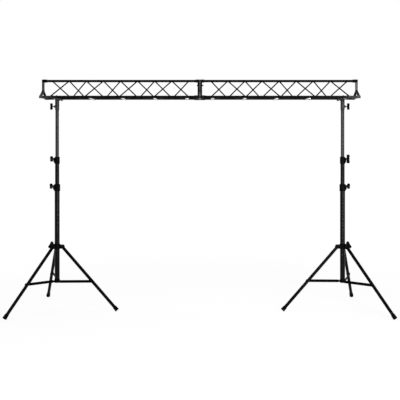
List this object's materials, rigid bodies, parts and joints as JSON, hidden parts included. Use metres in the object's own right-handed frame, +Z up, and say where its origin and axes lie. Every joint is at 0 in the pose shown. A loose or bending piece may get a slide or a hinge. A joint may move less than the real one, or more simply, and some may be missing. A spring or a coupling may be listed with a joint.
{
  "type": "lighting truss stand",
  "caption": "Portable lighting bridge: a triangular lattice truss carried at each end by a telescopic tripod stand with T-handled clamping screws.",
  "frame": {"origin": "on the floor, below the middle of the object's box", "axes": "+X along the truss to the right, +Y to the rear, +Z up"},
  "size_m": [3.5494, 1.0518, 2.1988],
  "materials": {
    "truss_paint": "satin black enamel on steel tube",
    "frame_paint": "worn satin black enamel on steel bar",
    "zinc_plate": "bright zinc plate on steel",
    "spigot_alloy": "turned bar",
    "black_zinc": "black zinc plate on steel bolts and rivets",
    "column_paint": "semi-gloss black powder coat on steel tube",
    "collar_cast": "black powder-coated casting",
    "knob_plastic": "moulded black nylon",
    "foot_rubber": "moulded black rubber",
    "glide_plastic": "moulded black acetal"
  },
  "bodies": {
    "left_base": {"left_lower_tube": "column_paint", "left_lower_collar": "collar_cast", "left_hub": "collar_cast"},
    "left_mid": {"left_mid_tube": "column_paint", "left_mid_glide": "glide_plastic", "left_upper_collar": "collar_cast"},
    "truss": {"left_chords": "truss_paint", "right_chords": "truss_paint", "left_lattice": "truss_paint", "right_lattice": "truss_paint", "left_end_frame": "frame_paint", "right_end_frame": "frame_paint", "left_joint_frame": "truss_paint", "right_joint_frame": "truss_paint", "joint_spigots": "spigot_alloy", "joint_bolts": "black_zinc", "fixture_straps": "zinc_plate", "left_adapter": "column_paint", "right_adapter": "column_paint", "adapter_u_bolts": "black_zinc", "left_upper_tube": "column_paint", "right_upper_tube": "column_paint", "left_upper_glide": "glide_plastic", "right_upper_glide": "glide_plastic"},
    "right_mid": {"right_mid_tube": "column_paint", "right_mid_glide": "glide_plastic", "right_upper_collar": "collar_cast"},
    "right_base": {"right_lower_tube": "column_paint", "right_lower_collar": "collar_cast", "right_hub": "collar_cast"},
    "left_leg_slider": {"left_leg_collar": "collar_cast", "left_leg_pins": "black_zinc"},
    "left_lower_screw": {"left_lower_knob": "knob_plastic"},
    "left_upper_screw": {"left_upper_knob": "knob_plastic"},
    "left_adapter_screw": {"left_adapter_knob": "knob_plastic"},
    "left_leg_screw": {"left_leg_knob": "knob_plastic"},
    "left_inner_leg_tube": {"left_inner_leg": "column_paint", "left_inner_foot": "foot_rubber"},
    "left_inner_stay": {"left_inner_brace": "column_paint"},
    "left_rear_leg_tube": {"left_rear_leg": "column_paint", "left_rear_foot": "foot_rubber"},
    "left_rear_stay": {"left_rear_brace": "column_paint"},
    "left_front_leg_tube": {"left_front_leg": "column_paint", "left_front_foot": "foot_rubber"},
    "left_front_stay": {"left_front_brace": "column_paint"},
    "right_leg_slider": {"right_leg_collar": "collar_cast", "right_leg_pins": "black_zinc"},
    "right_lower_screw": {"right_lower_knob": "knob_plastic"},
    "right_upper_screw": {"right_upper_knob": "knob_plastic"},
    "right_adapter_screw": {"right_adapter_knob": "knob_plastic"},
    "right_leg_screw": {"right_leg_knob": "knob_plastic"},
    "right_inner_leg_tube": {"right_inner_leg": "column_paint", "right_inner_foot": "foot_rubber"},
    "right_inner_stay": {"right_inner_brace": "column_paint"},
    "right_rear_leg_tube": {"right_rear_leg": "column_paint", "right_rear_foot": "foot_rubber"},
    "right_rear_stay": {"right_rear_brace": "column_paint"},
    "right_front_leg_tube": {"right_front_leg": "column_paint", "right_front_foot": "foot_rubber"},
    "right_front_stay": {"right_front_brace": "column_paint"}
  },
  "joints": [
    {"name": "lower_stage", "type": "slide", "parent": "left_base", "child": "left_mid", "axis": [0, 0, 1], "range_m": [-0.17, 0.52]},
    {"name": "upper_stage", "type": "slide", "parent": "left_mid", "child": "truss", "axis": [0, 0, 1], "range_m": [-0.42, 0.24]},
    {"name": "right_upper_stage", "type": "slide", "parent": "truss", "child": "right_mid", "axis": [0, 0, -1], "range_m": [-0.42, 0.24]},
    {"name": "right_lower_stage", "type": "slide", "parent": "right_mid", "child": "right_base", "axis": [0, 0, -1], "range_m": [-0.17, 0.52]},
    {"name": "left_leg_fold", "type": "slide", "parent": "left_base", "child": "left_leg_slider", "axis": [0, 0, 1], "range_m": [0, 0.4105]},
    {"name": "left_lower_screw_turn", "type": "hinge", "parent": "left_base", "child": "left_lower_screw", "pos_m": [-1.41716, -0.06366, 1.17631], "axis": [-0.9833, -0.1822, 0], "range_deg": [0, 450]},
    {"name": "left_upper_screw_turn", "type": "hinge", "parent": "left_mid", "child": "left_upper_screw", "pos_m": [-1.41716, -0.06366, 1.43731], "axis": [-0.9833, -0.1822, 0], "range_deg": [0, 450]},
    {"name": "left_adapter_screw_turn", "type": "hinge", "parent": "truss", "child": "left_adapter_screw", "pos_m": [-1.418, -0.05454, 1.93931], "axis": [-1, 0, 0], "range_deg": [0, 450]},
    {"name": "left_leg_screw_turn", "type": "hinge", "parent": "left_leg_slider", "child": "left_leg_screw", "pos_m": [-1.41716, -0.04543, 0.61192], "axis": [-0.9833, 0.1822, 0], "range_deg": [0, 450]},
    {"name": "left_inner_leg_swing", "type": "hinge", "parent": "left_leg_slider", "child": "left_inner_leg_tube", "pos_m": [-1.31789, -0.06383, 0.59792], "axis": [0.1822, 0.9833, 0], "range_deg": [0, 40.1]},
    {"name": "left_inner_brace_swing", "type": "hinge", "parent": "left_base", "child": "left_inner_stay", "pos_m": [-1.32695, -0.06215, 0.26632], "axis": [-0.1822, -0.9833, 0], "range_deg": [0, 81.87]},
    {"name": "left_rear_leg_swing", "type": "hinge", "parent": "left_leg_slider", "child": "left_rear_leg_tube", "pos_m": [-1.38501, -0.00651, 0.59792], "axis": [-0.9426, -0.3338, 0], "range_deg": [0, 40.1]},
    {"name": "left_rear_brace_swing", "type": "hinge", "parent": "left_base", "child": "left_rear_stay", "pos_m": [-1.38194, -0.01519, 0.26632], "axis": [0.9426, 0.3338, 0], "range_deg": [0, 81.87]},
    {"name": "left_front_leg_swing", "type": "hinge", "parent": "left_leg_slider", "child": "left_front_leg_tube", "pos_m": [-1.40109, -0.09329, 0.59792], "axis": [0.7604, -0.6494, 0], "range_deg": [0, 40.1]},
    {"name": "left_front_brace_swing", "type": "hinge", "parent": "left_base", "child": "left_front_stay", "pos_m": [-1.39511, -0.08629, 0.26632], "axis": [-0.7604, 0.6494, 0], "range_deg": [0, 81.87]},
    {"name": "right_leg_fold", "type": "slide", "parent": "right_base", "child": "right_leg_slider", "axis": [0, 0, 1], "range_m": [0, 0.4105]},
    {"name": "right_lower_screw_turn", "type": "hinge", "parent": "right_base", "child": "right_lower_screw", "pos_m": [1.41716, -0.06366, 1.17631], "axis": [0.9833, -0.1822, 0], "range_deg": [0, 450]},
    {"name": "right_upper_screw_turn", "type": "hinge", "parent": "right_mid", "child": "right_upper_screw", "pos_m": [1.41716, -0.06366, 1.43731], "axis": [0.9833, -0.1822, 0], "range_deg": [0, 450]},
    {"name": "right_adapter_screw_turn", "type": "hinge", "parent": "truss", "child": "right_adapter_screw", "pos_m": [1.418, -0.05454, 1.93931], "axis": [1, 0, 0], "range_deg": [0, 450]},
    {"name": "right_leg_screw_turn", "type": "hinge", "parent": "right_leg_slider", "child": "right_leg_screw", "pos_m": [1.41716, -0.04543, 0.61192], "axis": [0.9833, 0.1822, 0], "range_deg": [0, 450]},
    {"name": "right_inner_leg_swing", "type": "hinge", "parent": "right_leg_slider", "child": "right_inner_leg_tube", "pos_m": [1.31789, -0.06383, 0.59792], "axis": [0.1822, -0.9833, 0], "range_deg": [0, 40.1]},
    {"name": "right_inner_brace_swing", "type": "hinge", "parent": "right_base", "child": "right_inner_stay", "pos_m": [1.32695, -0.06215, 0.26632], "axis": [-0.1822, 0.9833, 0], "range_deg": [0, 81.87]},
    {"name": "right_rear_leg_swing", "type": "hinge", "parent": "right_leg_slider", "child": "right_rear_leg_tube", "pos_m": [1.38501, -0.00651, 0.59792], "axis": [-0.9426, 0.3338, 0], "range_deg": [0, 40.1]},
    {"name": "right_rear_brace_swing", "type": "hinge", "parent": "right_base", "child": "right_rear_stay", "pos_m": [1.38194, -0.01519, 0.26632], "axis": [0.9426, -0.3338, 0], "range_deg": [0, 81.87]},
    {"name": "right_front_leg_swing", "type": "hinge", "parent": "right_leg_slider", "child": "right_front_leg_tube", "pos_m": [1.40109, -0.09329, 0.59792], "axis": [0.7604, 0.6494, 0], "range_deg": [0, 40.1]},
    {"name": "right_front_brace_swing", "type": "hinge", "parent": "right_base", "child": "right_front_stay", "pos_m": [1.39511, -0.08629, 0.26632], "axis": [-0.7604, -0.6494, 0], "range_deg": [0, 81.87]}
  ],
  "couplings": [
    {"joint": "right_upper_stage", "follows": "upper_stage", "ratio": 1},
    {"joint": "right_lower_stage", "follows": "lower_stage", "ratio": 1},
    {"joint": "left_inner_leg_swing", "follows": "left_leg_fold", "rad_per_m": 1.7007},
    {"joint": "left_inner_brace_swing", "follows": "left_leg_fold", "rad_per_m": 3.4768},
    {"joint": "left_rear_leg_swing", "follows": "left_leg_fold", "rad_per_m": 1.7007},
    {"joint": "left_rear_brace_swing", "follows": "left_leg_fold", "rad_per_m": 3.4768},
    {"joint": "left_front_leg_swing", "follows": "left_leg_fold", "rad_per_m": 1.7007},
    {"joint": "left_front_brace_swing", "follows": "left_leg_fold", "rad_per_m": 3.4768},
    {"joint": "right_inner_leg_swing", "follows": "right_leg_fold", "rad_per_m": 1.7007},
    {"joint": "right_inner_brace_swing", "follows": "right_leg_fold", "rad_per_m": 3.4768},
    {"joint": "right_rear_leg_swing", "follows": "right_leg_fold", "rad_per_m": 1.7007},
    {"joint": "right_rear_brace_swing", "follows": "right_leg_fold", "rad_per_m": 3.4768},
    {"joint": "right_front_leg_swing", "follows": "right_leg_fold", "rad_per_m": 1.7007},
    {"joint": "right_front_brace_swing", "follows": "right_leg_fold", "rad_per_m": 3.4768}
  ]
}
